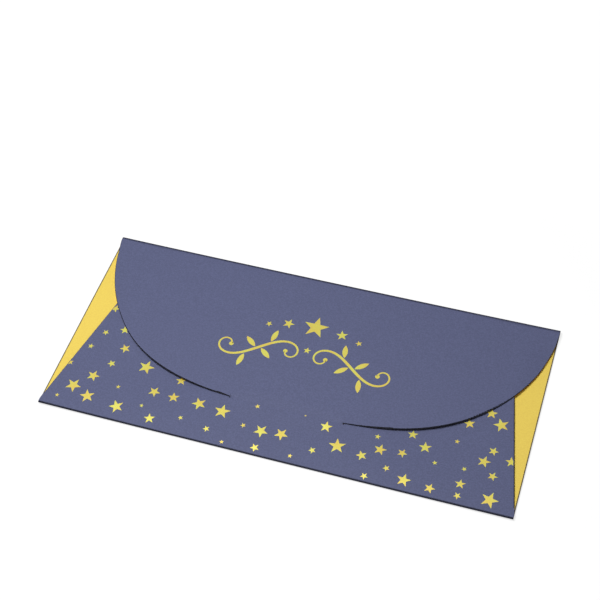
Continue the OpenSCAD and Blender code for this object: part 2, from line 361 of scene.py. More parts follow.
@dataclass(frozen=True)
class Relief:
    """Heights of the sheets at rest, which are card under light tension and not flat plates."""

    outline: Outline = Outline()
    stock: Stock = Stock()
    front: float = 1.5
    tab: float = 0.40
    flap: float = 2.25
    tucked: float = 1.10
    end_lift: float = 0.34
    lift_fades: Step = Step(58, 94)
    pinch: float = 0.65
    pinch_reach: float = 13.5
    pinch_eased: float = 0.25
    hollows: tuple[Mound, ...] = (Mound(0.74, 62, 33, 42, 30), Mound(0.74, -56, 36, 40, 28))
    slit_fade: float = 7.0
    lower_lip: float = 0.38
    lower_reach: float = 9.0
    upper_lip: float = 0.22
    upper_reach: float = 6.0
    droops: tuple[Droop, ...] = (Droop(0.60, 60, 38, 1.4), Droop(0.22, 92.5, 5.4, 2))
    droop_eased: float = 0.85
    droop_power: float = 2.5
    springs: tuple[Mound, ...] = (Mound(0.26, 76, 42, 34, 30), Mound(0.20, -58, 40, 34, 26))
    sag: Patch = Patch(0.80, Step(91, 105), Step(97, 81))
    held: float = 0.22
    held_half: float = 27.0
    held_height: float = 26.0
    held_reach: float = 22.0
    dip_reach: float = 0.95
    dip_longer: float = 5.3

    def lift(self, x: Array, y: Array) -> Array:
        """Returns how far the pocket's ends stand up, by the cube of X and not at the top."""
        return self.end_lift * np.abs(x / self.outline.half) ** 3 * (1 - self.lift_fades(y))

    def slit_window(self, x: Array) -> Array:
        """Returns 1 along the middle of the slit, eased to 0 at its ends and past them."""
        return ease((self.outline.slit_half - np.abs(x)) / self.slit_fade)

    def back_top(self, x: Array, y: Array) -> Array:
        """Returns the upper surface of the back panel: level, with its ends lifted."""
        return self.stock.whole + self.lift(x, y)

    def front_top(self, x: Array, y: Array) -> Array:
        """Upper surface of the front panel.

        Level with lifted ends, less a pinch towards the bottom fold, less a shallow hollow
        on each side of the slit, with the slit's lower lip lifted and its upper lip
        pressed down.

        Args:
            x: places across the holder.
            y: heights above the bottom fold.

        Returns:
            The heights above the table.
        """
        o = self.outline
        pinch = self.pinch * (1 - ramp((y - o.bottom_fold) / self.pinch_reach)) ** 2
        pinch = pinch * (1 - self.pinch_eased * np.abs(x / o.half) ** 3)
        hollow = sum(mound(x, y) for mound in self.hollows)
        under_slit = y <= o.slit + SAME
        below = ease(1 - (o.slit - y) / self.lower_reach) * under_slit
        over = ease(1 - (y - o.slit - o.slit_open) / self.upper_reach) * ~under_slit
        window = self.slit_window(x - o.slit_middle)
        lips = window * (self.lower_lip * below - self.upper_lip * over)
        return self.front + self.lift(x, y) - pinch - hollow + lips

    def flap_level(self, x: Array, y: Array) -> Array:
        """Upper surface of the flap before its tongue dips.

        Level, drooping towards the top fold and most in the fold's middle, lower round the
        slit, which holds it down, sprung up a little on each side of it, and sagging at its
        right end, which has no pocket under it.

        Args:
            x: places across the holder.
            y: heights above the bottom fold.

        Returns:
            The heights above the table.
        """
        middle = 1 - self.droop_eased * np.abs(x / self.outline.half) ** self.droop_power
        droop = sum(drop(y) for drop in self.droops) * middle
        from_slit = np.hypot(np.maximum(np.abs(x) - self.held_half, 0), y - self.held_height)
        held = self.held * ease(1 - from_slit / self.held_reach)
        spring = sum(mound(x, y) for mound in self.springs)
        return self.flap + spring - droop - self.sag(x, y) - held

    def flap_top(self, x: Array, y: Array) -> Array:
        """Upper surface of the flap and its tongue, which dips through the slit in an S.

        The S eases from the tucked level to the flap's level over a length that is short
        at the ends of the slit and long in its middle.

        Args:
            x: places across the holder.
            y: heights above the bottom fold.

        Returns:
            The heights above the table.
        """
        o = self.outline
        middle = o.slit + o.slit_open / 2
        reach = self.dip_reach + self.dip_longer * self.slit_window(x)
        dip = 1 - ease((y - middle + reach) / (2 * reach))
        inside = np.abs(x) <= o.tongue_half + SAME
        level = self.flap_level(x, y)
        return level - (level - self.tucked) * dip * inside

    def stretch(self, top: Field, x: Array, y: Array) -> Array:
        """Measures how much longer than its thickness a sloping sheet is, taken upright.

        It is the root of 1 plus the squares of the slopes across and along, each square
        no more than a limit, with the slopes taken over a small step.

        Args:
            top: the sheet's upper surface.
            x: places across the holder.
            y: heights above the bottom fold.

        Returns:
            The stretch at each place.
        """
        step, steepest = 0.02, 0.4
        across = (top(x + step, y) - top(x - step, y)) / (2 * step)
        along = (top(x, y + step) - top(x, y - step)) / (2 * step)
        return np.sqrt(1 + (np.minimum(across**2, steepest) + np.minimum(along**2, steepest)))


# Meshes

def no_seam(middles: Array) -> Array:
    """Returns that none of these boundary edges lies on a seam."""
    return np.zeros(len(middles), bool)


def placed(name: str, data: bpy.types.ID) -> bpy.types.Object:
    """Puts a new object into the scene, at the origin.

    Args:
        name: the object's name.
        data: its mesh, camera or lamp.

    Returns:
        The object.
    """
    obj = bpy.data.objects.new(name, data)
    bpy.context.scene.collection.objects.link(obj)
    return obj


def shaded(mesh: bpy.types.Mesh) -> bpy.types.Object:
    """Shades a mesh smooth between its sharp edges and puts it into the scene.

    Args:
        mesh: the mesh, whose name the object takes.

    Returns:
        The object.
    """
    mesh.polygons.foreach_set("use_smooth", np.ones(len(mesh.polygons), bool))
    mesh.set_sharp_from_angle(angle=SHARP_ANGLE)
    mesh.update()
    return placed(mesh.name, mesh)


def mesh_object(name: str, points: Array, quads: Array, cut: Array,
                fold_shade: Array) -> bpy.types.Object:
    """Makes a mesh object from points in millimetres.

    Args:
        name: the object's name.
        points: n x 3, with Y from the bottom fold.
        quads: m x 4 corners, counter-clockwise from outside.
        cut: m values, 1 on a cut edge, 0 on a face of the card, and between them on bevels
            and on dark rims painted beside cut edges.
        fold_shade: n values of painted shade along creases, 1 where it is darkest and 0 on a
            level sheet.

    Returns:
        The object, at the origin.
    """
    mesh = bpy.data.meshes.new(name)
    mesh.from_pydata((points - np.array([0, Outline.height / 2, 0])) * MM, [], quads.tolist())
    for key, domain, values in (("cut_edge_and_painted_rim", "FACE", cut), ("fold_shade", "POINT", fold_shade)):
        mesh.attributes.new(key, "FLOAT", domain)
        mesh.attributes[key].data.foreach_set("value", values.astype(np.float32))
    work = bmesh.new()
    work.from_mesh(mesh)
    bmesh.ops.remove_doubles(work, verts=work.verts, dist=MERGE * MM)
    work.to_mesh(mesh)
    work.free()
    return shaded(mesh)


def without_neighbour(keep: Array, axis: int, step: int) -> Array:
    """Tells which kept cells have no kept neighbour one step along an axis.

    Args:
        keep: the cells that hold card.
        axis: the grid's axis.
        step: 1 for the next cell and -1 for the one before.

    Returns:
        One truth value for each cell.
    """
    near = np.roll(keep, -step, axis)
    edge = [slice(None), slice(None)]
    edge[axis] = -1 if step > 0 else 0
    near[tuple(edge)] = False
    return keep & ~near


def cells_and_rim(outer: Array, inner: Array, keep: Array) -> tuple[Array, Array]:
    """Numbers the corners of the kept cells and the ends of the edges round them.

    The corners run counter-clockwise seen from the outer face, which is told from the
    sign of each cell's crossed diagonals along the way from the inner grid to the outer.

    Args:
        outer: nu x nv x 3 points of the outer face.
        inner: nu x nv x 3 points of the inner face.
        keep: (nu - 1) x (nv - 1), the cells that hold card.

    Returns:
        The four points of each face, and the two points of each boundary edge.
    """
    index = np.arange(outer[..., 0].size).reshape(outer.shape[:2])
    corners = [index[:-1, :-1], index[1:, :-1], index[1:, 1:], index[:-1, 1:]]
    across, along = outer[1:, 1:] - outer[:-1, :-1], outer[:-1, 1:] - outer[1:, :-1]
    flipped = np.sum(np.cross(across, along) * (outer - inner)[:-1, :-1]) < 0
    if flipped:
        corners = [corners[k] for k in (0, 3, 2, 1)]
    first, second = (0, 1) if flipped else (1, 0)
    rim = []
    for k, (axis, step) in enumerate(((first, -1), (second, 1), (first, 1), (second, -1))):
        free = without_neighbour(keep, axis, step)
        rim.append(np.stack([corners[k][free], corners[(k + 1) % 4][free]], -1))
    return np.stack(corners, -1)[keep], np.concatenate(rim)


def outward(top: Array, through: Array, rim: Array, on_seam: Array) -> Array:
    """Finds the way out of the sheet at each point of its cut edges.

    It is square to the edge in the sheet. Where two cut edges meet it is their sum,
    lengthened so that a step along it moves square to both by the same amount.

    Args:
        top: n x 3 points.
        through: n x 3, the way from the inner face to the outer one.
        rim: the two points of each boundary edge.
        on_seam: whether each boundary edge lies on a seam.

    Returns:
        n x 3, zero inside the sheet and on seams.
    """
    away = unit(np.cross(top[rim[:, 1]] - top[rim[:, 0]], through[rim[:, 0]]))
    away[on_seam] = 0
    pull, count = np.zeros_like(top), np.zeros(len(top))
    for end in (0, 1):
        np.add.at(pull, rim[:, end], away)
        np.add.at(count, rim[:, end], ~on_seam)
    sharpest = 0.5
    square = np.maximum((pull**2).sum(-1), sharpest)[:, None]
    return np.where(count[:, None] > 1, 2 * pull / square, pull)


@dataclass(frozen=True)
class Sheet:
    """A run of card or glue, of which a shell is made.

    Attributes:
        face: gives the grid of points, nu x nv x 3, at a depth below the first face.
        seam: tells which boundary edges, given by their middles, carry on into a
            neighbouring piece and are left square.
        keep: (nu - 1) x (nv - 1), the cells that hold card, or None for all.
        cover_first: whether the cover ply is the upper or outer one.
        rim: width by place of a dark rim painted on the first ply along its cut edges; on
            the flap it is painted shadow of the gap under the flap's edge.
        tone: how far the rim's colour has gone to the cut edge's.
        fold_shade: nu x nv, how far painted shade darkens the card along a crease, or None for
            none.
    """

    face: Face
    seam: Seam = no_seam
    keep: Array | None = None
    cover_first: bool = True
    rim: Field | None = None
    tone: float = 1.0
    fold_shade: Array | None = None

    def ply(self, name: str, ply: Ply, stock: Stock) -> bpy.types.Object:
        """Builds one ply, with its edges broken where they are the card's own.

        Args:
            name: the piece's name.
            ply: the ply.
            stock: the card.

        Returns:
            The piece.
        """
        breaks = Breaks(inner=stock.broken)
        if (ply is Ply.COVER) == self.cover_first:
            breaks = Breaks(stock.broken, 0.0, self.rim, self.tone)
        return self.shell(name, stock.depths(ply, self.cover_first), breaks)

    def shell(self, name: str, depths: Pair, breaks: Breaks) -> bpy.types.Object:
        """Makes a closed shell between two depths.

        Each kept cell gives a face on the outer grid and one on the inner grid. Along every
        edge where a kept cell has no kept neighbour a wall joins the two. On a cut edge the
        faces stop short of the wall by the breaks, measured square to the edge in the
        sheet, and a narrow bevel joins them, so the wall starts that much lower. A rim,
        where there is one, is a narrow strip of the outer face along that bevel, painted dark
        towards the cut edge's colour by its tone. On a seam both have no width, and points
        that coincide there are merged.

        Args:
            name: the piece's name.
            depths: the depths of its outer and its inner face.
            breaks: how far its cut edges are broken.

        Returns:
            The piece.
        """
        outer, inner = map(self.face, depths)
        size = outer.shape[:2]
        keep = np.ones((size[0] - 1, size[1] - 1), bool) if self.keep is None else self.keep
        fold_shade = np.zeros(size) if self.fold_shade is None else self.fold_shade
        faces, rim = cells_and_rim(outer, inner, keep)
        top, low = outer.reshape(-1, 3), inner.reshape(-1, 3)
        through = unit(top - low)
        on_seam = self.seam((top[rim[:, 0]] + top[rim[:, 1]]) / 2)
        pull = outward(top, through, rim, on_seam)
        bevel, wall = 0.5, 1.0
        width = 0.0 if breaks.rim is None else breaks.rim(top[:, 0], top[:, 1])[:, None]
        rings, marks = [top - (breaks.outer + width) * pull], []
        # The rim ring is painted dark towards the cut edge's colour: painted shadow on the flap, a
        # dark line on the back panel.
        if breaks.rim is not None:
            rings.append(top - breaks.outer * pull)
            marks.append(breaks.tone)
        if breaks.outer:
            rings.append(top - breaks.outer * through)
            marks.append(bevel)
        if breaks.inner:
            rings.append(low + breaks.inner * through)
            marks.append(wall)
        rings.append(low - breaks.inner * pull)
        marks.append(bevel if breaks.inner else wall)
        n = len(top)
        strip = np.stack([rim[:, 1], rim[:, 0], rim[:, 0] + n, rim[:, 1] + n], -1)
        walls = [strip + k * n for k in range(len(marks))]
        quads = np.concatenate([faces, faces[:, ::-1] + len(marks) * n] + walls)
        cut = [np.zeros(2 * len(faces))] + [np.where(on_seam, 0.0, mark) for mark in marks]
        held, quads = np.unique(quads, return_inverse=True)
        fold_shade = np.tile(fold_shade.ravel(), len(rings))[held]
        points = np.concatenate(rings)[held]
        return mesh_object(name, points, quads.reshape(-1, 4), np.concatenate(cut), fold_shade)


def lying(x: Array, y: Array, top: Array, stretch: Array | float = 1.0) -> Face:
    """Returns the faces of a sheet that lies nearly level, at depths below its top."""
    return lambda depth: np.stack([x, y, top - depth * stretch], -1)


@dataclass(frozen=True)
class Fold:
    """A fold along a straight line, from a lower panel round to an upper one.

    Attributes:
        at: stations x 2, plan of the seam line.
        away: plan direction in which the fold stands out.
        reach: how far it stands out.
        low: height of the lower panel's outer face at each station.
        high: height of the upper panel's outer face at each station.
        slope: rise of the upper panel for each millimetre away from the fold.
        dark_from: share of the reach from which painted shade darkens the fold's colour.
        dark_over: share of the reach over which that painted shade grows.
        tangent: length of the curves' end tangents, as a share of their reach.
        count: number of points on each of the two curves.
    """

    at: Array
    away: Array
    reach: float
    low: Array
    high: Array
    slope: Array | float = 0.0
    dark_from: float = -0.1
    dark_over: float = 0.4
    tangent: float = 1.657
    count: int = 15

    def line(self) -> tuple[Array, Array]:
        """Works out the fold's outer line, seen along the fold.

        Two cubic curves meet at the outermost point, where the line is upright. The first
        leaves the lower panel level, and the second meets the upper panel at its own slope.

        Returns:
            Distance out and height, stations x points.
        """
        t = np.linspace(0, 1, self.count)[None]
        start, end = 2 * t**3 - 3 * t**2 + 1, 3 * t**2 - 2 * t**3
        leave, arrive = t**3 - 2 * t**2 + t, t**3 - t**2
        reach = np.full((len(self.at), 1), self.reach)
        low, high, slope = (np.reshape(v, (-1, 1)) for v in (self.low, self.high, self.slope))
        middle, half, pull = (low + high) / 2, (high - low) / 2, self.tangent
        out = [reach * end + pull * reach * leave, reach * start - pull * reach * arrive]
        height = [
            low * start + middle * end + pull * half * arrive,
            middle * start + high * end + pull * half * leave + slope * pull * reach * arrive,
        ]
        return tuple(np.concatenate([first, then[:, 1:]], 1) for first, then in (out, height))

    def face(self, depth: float) -> Array:
        """Carries the line along its stations, at a depth square to it.

        Args:
            depth: the depth below the outer face.

        Returns:
            The grid of points.
        """
        out, height = self.line()
        rises = []
        for line in (out, height):
            rises.append(np.gradient(line, axis=1))
            rises[-1][:, [0, -1]] = line[:, [1, -1]] - line[:, [0, -2]]
        square = np.stack([rises[1], -rises[0]]) / np.hypot(*rises)
        square[0][:, [0, -1]] = 0
        square[1][:, 0], square[1][:, -1] = -1, 1
        plan = self.at[:, None, :] + (out - depth * square[0])[..., None] * self.away
        return np.concatenate([plan, (height - depth * square[1])[..., None]], -1)

    def on_panel(self, middles: Array) -> Array:
        """Tells which boundary edges run along the fold, where the panels meet it.

        Args:
            middles: the edges' middles.

        Returns:
            One truth value for each edge.
        """
        run = self.at[-1] - self.at[0]
        along = (middles[:, :2] - self.at[0]) @ unit(run)
        return (along > HAIR) & (along < np.linalg.norm(run) - HAIR)

    def sheet(self) -> Sheet:
        """Returns the fold as a sheet, darkened by painted shade towards its outermost line."""
        fold_shade = ease((self.line()[0] / self.reach - self.dark_from) / self.dark_over)
        return Sheet(self.face, self.on_panel, fold_shade=fold_shade)


# Finishes

class Wire:
    """A node's output, on which arithmetic adds Math nodes."""

    def __init__(self, shader: "Shader", socket: bpy.types.NodeSocket | None) -> None:
        """Keeps the shader and the socket."""
        self.shader = shader
        self.socket = socket

    def _math(self, operation: str, left: Any, right: Any) -> "Wire":
        """Returns the result of a Math node on two values."""
        return self.shader.add("ShaderNodeMath", {"operation": operation}, {0: left, 1: right})

    def __add__(self, other: Any) -> "Wire":
        """Returns self + other."""
        return self._math("ADD", self, other)

    def __sub__(self, other: Any) -> "Wire":
        """Returns self - other."""
        return self._math("SUBTRACT", self, other)

    def __rsub__(self, other: Any) -> "Wire":
        """Returns other - self."""
        return self._math("SUBTRACT", other, self)

    def __mul__(self, other: Any) -> "Wire":
        """Returns self * other."""
        return self._math("MULTIPLY", self, other)

    __radd__, __rmul__ = __add__, __mul__


def srgb(code: str, gain: float = 1.0) -> Colour:
    """Turns a colour code into a linear colour.

    Args:
        code: the colour as #rrggbb.
        gain: what its linear parts are multiplied by.

    Returns:
        Red, green, blue and alpha.
    """
    parts = [int(code[i : i + 2], 16) / 255 for i in (1, 3, 5)]
    linear = [p / 12.92 if p <= 0.04045 else ((p + 0.055) / 1.055) ** 2.4 for p in parts]
    return (*(min(1.0, c * gain) for c in linear), 1.0)


@dataclass(frozen=True)
class Noise:
    """A noise in a finish, and its part where several are summed.

    Attributes:
        per_mm: about how many blobs there are in a millimetre.
        detail: how many finer layers it has.
        rough: how strong they are.
        window: the values that become 0 and 1, or None for the noise as it is.
        stretch: how much denser it runs along each axis.
        turn: how far it is turned about Z after that, in radians.
        mean: the value at which it adds nothing to a sum.
        share: what it adds to a sum for each unit above the mean.
    """

    per_mm: float
    detail: float = 2.0
    rough: float = 0.5
    window: Pair | None = None
    stretch: Triple = (1, 1, 1)
    turn: float = 0.0
    mean: float = 0.5
    share: float = 0.5

    def swing(self, value: Wire) -> Wire:
        """Returns what a value of the noise adds to a sum, above 0 or below it."""
        return (value - self.mean) * self.share


class Shader:
    """The node tree of a material or a sky, written as expressions."""

    def __init__(self, owner: bpy.types.Material | bpy.types.World) -> None:
        """Starts an empty tree.

        Args:
            owner: what the tree belongs to.
        """
        owner.use_nodes = True
        self.owner = owner
        self.tree = owner.node_tree
        self.tree.nodes.clear()
        self.places: dict[tuple[Triple, float], Wire] = {}

    def add(self, kind: str, settings: dict[str, Any] | None = None,
            inputs: dict[int | str, Any] | None = None, output: int | str = 0) -> Wire:
        """Adds a node of any type.

        Args:
            kind: the node's type.
            settings: properties to set first.
            inputs: socket number or name to a value or a Wire.
            output: the output to return.

        Returns:
            The chosen output.
        """
        node = self.tree.nodes.new(kind)
        for key, value in (settings or {}).items():
            setattr(node, key, value)
        for key, value in (inputs or {}).items():
            if isinstance(value, Wire):
                self.tree.links.new(value.socket, node.inputs[key])
            else:
                node.inputs[key].default_value = value
        return Wire(self, node.outputs[output] if len(node.outputs) else None)

    def place(self, stretch: Triple, turn: float) -> Wire:
        """Stretches the Object coordinates and then turns them about Z, once for each pair.

        Args:
            stretch: the factor along each axis.
            turn: the turn in radians.

        Returns:
            The coordinates.
        """
        if (stretch, turn) not in self.places:
            inputs = {"Vector": self.add("ShaderNodeTexCoord", output="Object"),
                      "Rotation": (0, 0, turn), "Scale": stretch}
            mapping = self.add("ShaderNodeMapping", {"vector_type": "POINT"}, inputs)
            self.places[stretch, turn] = mapping
        return self.places[stretch, turn]

    def noise(self, kind: Noise) -> Wire:
        """Returns a noise between 0 and 1.

        Args:
            kind: the noise.

        Returns:
            Its value, held inside its window where it has one.
        """
        inputs = {"Vector": self.place(kind.stretch, kind.turn), "Scale": kind.per_mm / MM,
                  "Detail": kind.detail, "Roughness": kind.rough}
        noise = self.add("ShaderNodeTexNoise", {"noise_dimensions": "3D"}, inputs)
        return self.bounded(noise, *kind.window) if kind.window else noise

    def value(self, attribute: str) -> Wire:
        """Returns a number kept in one of the mesh's attributes."""
        return self.add("ShaderNodeAttribute", {"attribute_name": attribute}, output="Fac")

    def between(self, share: Wire, low: Any, high: Any) -> Wire:
        """Returns a colour between two colours."""
        return self.add("ShaderNodeMix", {"data_type": "RGBA"}, {0: share, 6: low, 7: high}, 2)

    def tones(self, share: Wire, code: str, dark: float = 0.90, light: float = 1.10) -> Wire:
        """Returns a colour between a darker and a lighter tone of a #rrggbb code."""
        return self.between(share, srgb(code, dark), srgb(code, light))

    def bounded(self, value: Wire, low: float, high: float, start: float = 0.0,
                end: float = 1.0) -> Wire:
        """Returns the value's share of the way from low to high, held inside start and end."""
        inputs = {0: value, 1: low, 2: high, 3: start, 4: end}
        return self.add("ShaderNodeMapRange", {"clamp": True}, inputs)

    def bump(self, height: Wire, raised: Pair, under: Wire | None = None) -> Wire:
        """Raises the surface by a height.

        Args:
            height: the height, from 0 to 1.
            raised: what a height of 1 stands for, in millimetres, and how much of it shows.
            under: the normal that is bumped, or None for the surface's own.

        Returns:
            The bumped normal.
        """
        inputs = {"Height": height, "Distance": raised[0] * MM, "Strength": raised[1]}
        if under is not None:
            inputs["Normal"] = under
        return self.add("ShaderNodeBump", {}, inputs)

    def surface(self, inputs: dict[str, Any]) -> bpy.types.Material:
        """Ends the tree in a Principled shader.

        Args:
            inputs: the shader's sockets, by name.

        Returns:
            The material.
        """
        bsdf = self.add("ShaderNodeBsdfPrincipled", {}, inputs)
        self.add("ShaderNodeOutputMaterial", {}, {"Surface": bsdf})
        return self.owner


@dataclass(frozen=True)
class CardFinish:
    """Uncoated card: fibre grain, a soft mottle, and a rougher cut edge.

    Each bump is a depth in millimetres and a strength.
    """

    name: str
    colour: str
    # edge: the cut edge's colour, partly the card's own and partly painted shade. pressed: the
    # colour of painted shade along creases.
    edge: str
    pressed: str
    mottle: float
    grain: float
    contrast: float = 10.0
    edge_tones: Pair = (0.8, 1.15)
    broad: Noise = Noise(0.06, 3.0, 0.55)
    cloud: Noise = Noise(0.45, 2.0, 0.6)
    fine: Noise = Noise(2.6, 3.0, 0.65, share=1.0)
    speck: Noise = Noise(1.25, 2.0, 0.6, share=0.8)
    ends: Noise = Noise(9.0, 2.0, 0.7)
    fibre: Noise = Noise(3.4, 2.0, 0.55, (0.42, 0.72), (0.28, 1, 1), 0.12, 0.3, 0.35)
    cross_fibre: Noise = Noise(3.0, 2.0, 0.55, (0.46, 0.76), (1, 0.3, 1), -0.35, 0.25, 0.25)
    fine_height: float = 0.6
    fibre_height: float = 0.3
    cross_height: float = 0.2
    grain_bump: Pair = (0.012, 0.55)
    cloud_bump: Pair = (0.02, 0.35)
    rough_window: Pair = (0.2, 0.8)
    roughness: Pair = (0.56, 0.68)
    edge_rougher: float = 0.2
    shine: float = 0.2

    def build(self) -> bpy.types.Material:
        """Builds the material.

        Colour is the card's own, lightened and darkened by broad mottling, by fine grain
        and by short fibres, more of them along X than along Y. The same grain and fibres
        raise the surface. Along creases the colour goes to a darker tone, which is painted
        shade. A cut edge has its own dark colour, partly the card's and partly painted shade,
        and coarse fibre ends; dark rims painted beside cut edges take that colour too.

        Returns:
            The material.
        """
        s = Shader(bpy.data.materials.new(self.name))
        cloud, fine = s.noise(self.cloud), s.noise(self.fine)
        fibre, cross_fibre = s.noise(self.fibre), s.noise(self.cross_fibre)
        tone = self.broad.swing(s.noise(self.broad)) + self.cloud.swing(cloud)
        threads = self.fibre.swing(fibre) + self.cross_fibre.swing(cross_fibre)
        grain = self.fine.swing(fine) + self.speck.swing(s.noise(self.speck)) + threads
        shift = tone * (self.mottle * self.contrast) + grain * (self.grain * self.contrast)
        share = s.bounded(shift + 0.5, 0.0, 1.0)
        # Painted shade: towards a crease's outer line the colour goes to the pressed tone.
        face = s.between(s.value("fold_shade"), s.tones(share, self.colour), s.tones(share, self.pressed))
        cut = s.value("cut_edge_and_painted_rim")
        ends = s.tones(s.noise(self.ends), self.edge, *self.edge_tones)
        rough = s.bounded(fine + self.cloud.swing(cloud), *self.rough_window, *self.roughness)
        height = fine * self.fine_height + fibre * self.fibre_height
        height = height + cross_fibre * self.cross_height
        normal = s.bump(cloud, self.cloud_bump, s.bump(height, self.grain_bump))
        return s.surface({"Base Color": s.between(cut, face, ends), "Normal": normal,
                          "Roughness": rough + cut * self.edge_rougher,
                          "Specular IOR Level": self.shine})


@dataclass(frozen=True)
class FoilFinish:
    """Hot-pressed foil: a bright metal skin that takes on the card's grain.

    Each bump is a depth in millimetres and a strength.
    """

    name: str
    colour: str
    shade: str
    glint: str
    drift: Noise = Noise(0.14, 2.0, 0.6, (0.38, 0.62))
    grain: Noise = Noise(3.2, 3.0, 0.6)
    wave: Noise = Noise(1.1)
    glint_window: Pair = (0.3, 0.7)
    rough_window: Pair = (0.3, 0.75)
    roughness: Pair = (0.37, 0.49)
    wave_bump: Pair = (0.02, 0.06)
    grain_bump: Pair = (0.012, 0.09)
    metal: float = 0.35

    def build(self) -> bpy.types.Material:
        """Builds the material.

        Colour drifts between two golds. Roughness follows the card's grain, and shallow
        creases and grain raise the surface so that it glints unevenly.

        Returns:
            The material.
        """
        s = Shader(bpy.data.materials.new(self.name))
        grain = s.noise(self.grain)
        hue = s.between(s.noise(self.drift), srgb(self.shade), srgb(self.colour))
        colour = s.between(s.bounded(grain, *self.glint_window), hue, srgb(self.glint))
        rough = s.bounded(grain, *self.rough_window, *self.roughness)
        normal = s.bump(grain, self.grain_bump, s.bump(s.noise(self.wave), self.wave_bump))
        return s.surface({"Base Color": colour, "Roughness": rough, "Normal": normal,
                          "Metallic": self.metal})


@dataclass(frozen=True)
class GlueFinish:
    """Dry adhesive: a glossy off-white film, thinner and yellower in places."""

    name: str
    colour: str
    shade: str
    pool: Noise = Noise(0.5, window=(0.35, 0.7))
    ripple: Noise = Noise(1.6)
    ripple_bump: Pair = (0.02, 0.6)
    rough_window: Pair = (0.3, 0.7)
    roughness: Pair = (0.16, 0.32)

    def build(self) -> bpy.types.Material:
        """Builds the material: two tones by a soft noise, with shallow ripples and a gloss.

        Returns:
            The material.
        """
        s = Shader(bpy.data.materials.new(self.name))
        ripple = s.noise(self.ripple)
        colour = s.between(s.noise(self.pool), srgb(self.shade), srgb(self.colour))
        rough = s.bounded(ripple, *self.rough_window, *self.roughness)
        normal = s.bump(ripple, self.ripple_bump)
        return s.surface({"Base Color": colour, "Roughness": rough, "Normal": normal})


class Finishes:
    """The holder's materials, one for each slot."""

    def __init__(self) -> None:
        """Builds every material once."""
        recipes = {
            # Each card's cut-edge colour is partly its own and partly painted shade; its third
            # colour is painted shade along creases.
            Slot.COVER: CardFinish("indigo_card", "#5d6283", "#050509", "#121428", 0.05, 0.27),
            Slot.LINER: CardFinish("golden_card", "#fcda64", "#3a3744", "#c9a848", 0.03, 0.09),
            Slot.GLUE: GlueFinish("dry_glue", "#e8e6dc", "#d8d0b4"),
            Slot.FOIL: FoilFinish("pressed_gold_foil", "#cecc5b", "#d7b24e", "#c6c051"),
        }
        self.materials = {slot: recipe.build() for slot, recipe in recipes.items()}

    def dress(self, obj: bpy.types.Object, slot: Slot, body: str | None, node: str) -> None:
        """Gives a piece its finish and its body, and hides the CAD node that it stands for.

        Args:
            obj: the piece.
            slot: its material slot.
            body: the body that it moves with, or None for no body.
            node: the CAD node that it replaces.
        """
        obj.data.materials.clear()
        obj.data.materials.append(self.materials[slot])
        if body is not None:
            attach(obj, body)
        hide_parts(node)
        log.info("%s: %d faces, stands for %s", obj.name, len(obj.data.polygons), node)


# Sub-assemblies

@dataclass
class Assembly:
    """What every sub-assembly is built from."""

    relief: Relief
    finishes: Finishes

    @property
    def outline(self) -> Outline:
        """The plan of the closed holder."""
        return self.relief.outline

    def lay(self, sheet: Sheet, ply: Ply, body: str | None, node: str,
            name: str) -> bpy.types.Object:
        """Builds one ply of a sheet and dresses it.

        Args:
            sheet: the sheet.
            ply: the ply.
            body: the body that it moves with, or None for no body.
            node: the CAD node that it replaces.
            name: the piece's name.

        Returns:
            The piece.
        """
        obj = sheet.ply(name, ply, self.relief.stock)
        self.finishes.dress(obj, PLY_SLOTS[ply], body, node)
        return obj

    def lay_both(self, body: str, **sheets: Sheet) -> None:
        """Builds and dresses both plies of some sheets, the cover plies first.

        Args:
            body: the body that they move with.
            sheets: each sheet, by the kind that its plies are named for.
        """
        for ply in Ply:
            for kind, sheet in sheets.items():
                node = f"{kind}_{ply.value}"
                self.lay(sheet, ply, body, node, f"{node}_sheet")


@dataclass
class BackPanel(Assembly):
    """The panel that the holder lies on."""

    # A dark line painted along the yellow face's cut sides: its width, and how far its colour goes
    # to the cut edge's.
    rim: float = 0.45
    tone: float = 0.88
    step: float = 3.0

    def build(self) -> None:
        """Builds both plies: a rectangle cut at its two sides and seamed to its folds."""
        o = self.outline
        rows = spaced(o.bottom_fold, o.top_fold, step=self.step)
        x, y = np.meshgrid(o.along_folds(self.step), rows, indexing="ij")
        face = lying(x, y, self.relief.back_top(x, y))
        sheet = Sheet(face, self._on_fold, cover_first=False, rim=self._rim, tone=self.tone)
        self.lay_both("pocket", back=sheet)

    def _rim(self, x: Array, y: Array) -> Array:
        """Returns the width of the dark line painted along the cut sides, the same all along."""
        return np.full_like(x, self.rim)

    def _on_fold(self, middles: Array) -> Array:
        """Returns which boundary edges meet the bottom or the top fold."""
        o, y = self.outline, middles[:, 1]
        return (y < o.bottom_fold + HAIR) | (y > o.top_fold - HAIR)


